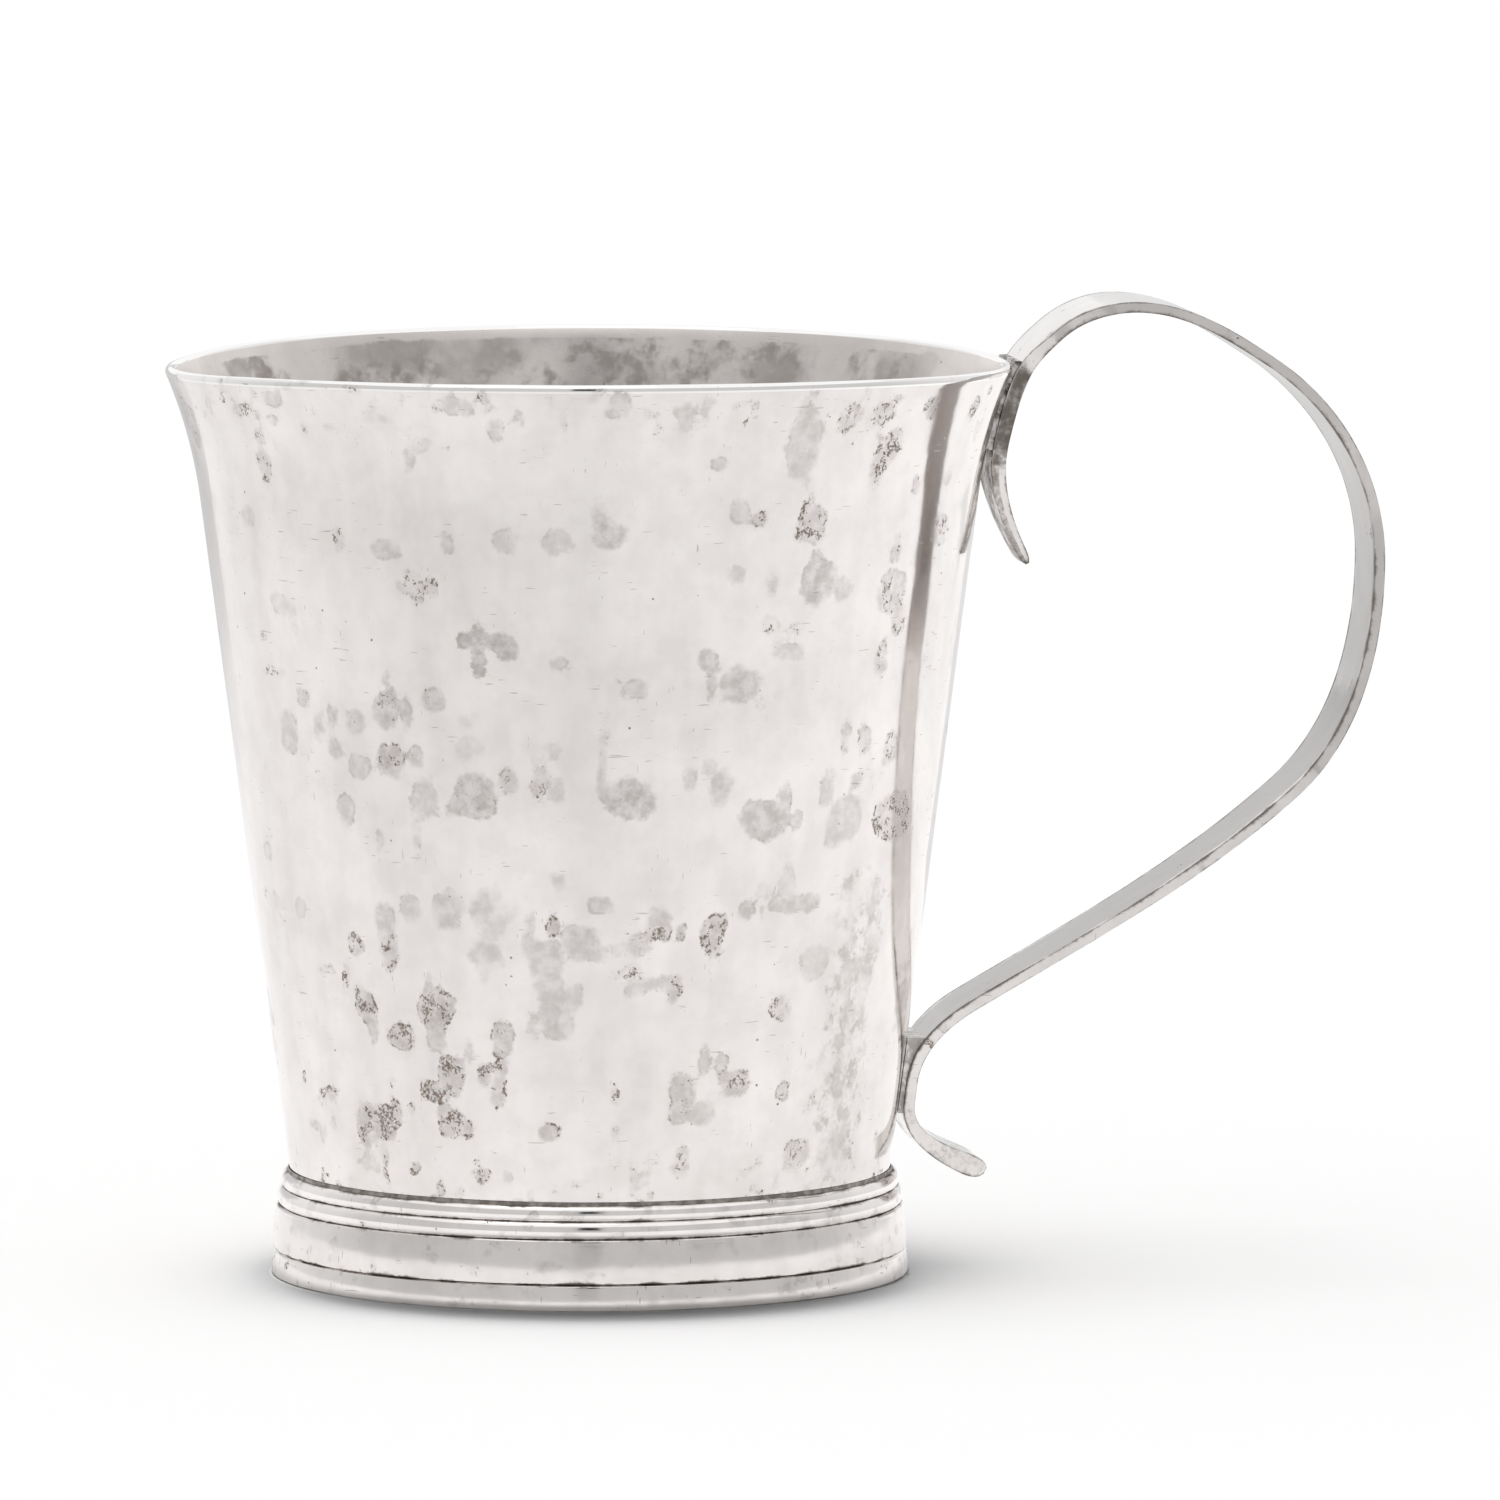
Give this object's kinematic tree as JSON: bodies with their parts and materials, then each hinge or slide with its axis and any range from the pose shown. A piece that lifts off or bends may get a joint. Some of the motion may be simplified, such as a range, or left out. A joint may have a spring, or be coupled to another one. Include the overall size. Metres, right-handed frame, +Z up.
{
  "type": "handled silver cup",
  "caption": "Small silver drinking cup with a tapering body, an outward-turned lip, a reeded foot and a strap handle whose ends kick out below each joint.",
  "frame": {"origin": "on the cup's axis, in the plane of the foot's resting face", "axes": "+Z up along the cup's axis, +X towards the handle, +Y across the handle's plane"},
  "size_m": [0.1259, 0.0874, 0.1006],
  "materials": {
    "aged_silver": "old hand-polished silver, softly worn, with grey stains and fine scratches",
    "silver_solder": "tarnished silver solder"
  },
  "bodies": {
    "root": {"body_wall": "aged_silver", "floor_disc": "aged_silver", "base_wire": "aged_silver", "foot_band": "aged_silver", "lower_reed": "aged_silver", "upper_reed": "aged_silver", "handle_strap": "aged_silver", "upper_handle_solder": "silver_solder", "lower_handle_solder": "silver_solder", "foot_solder": "silver_solder", "floor_solder": "silver_solder"}
  },
  "joints": []
}
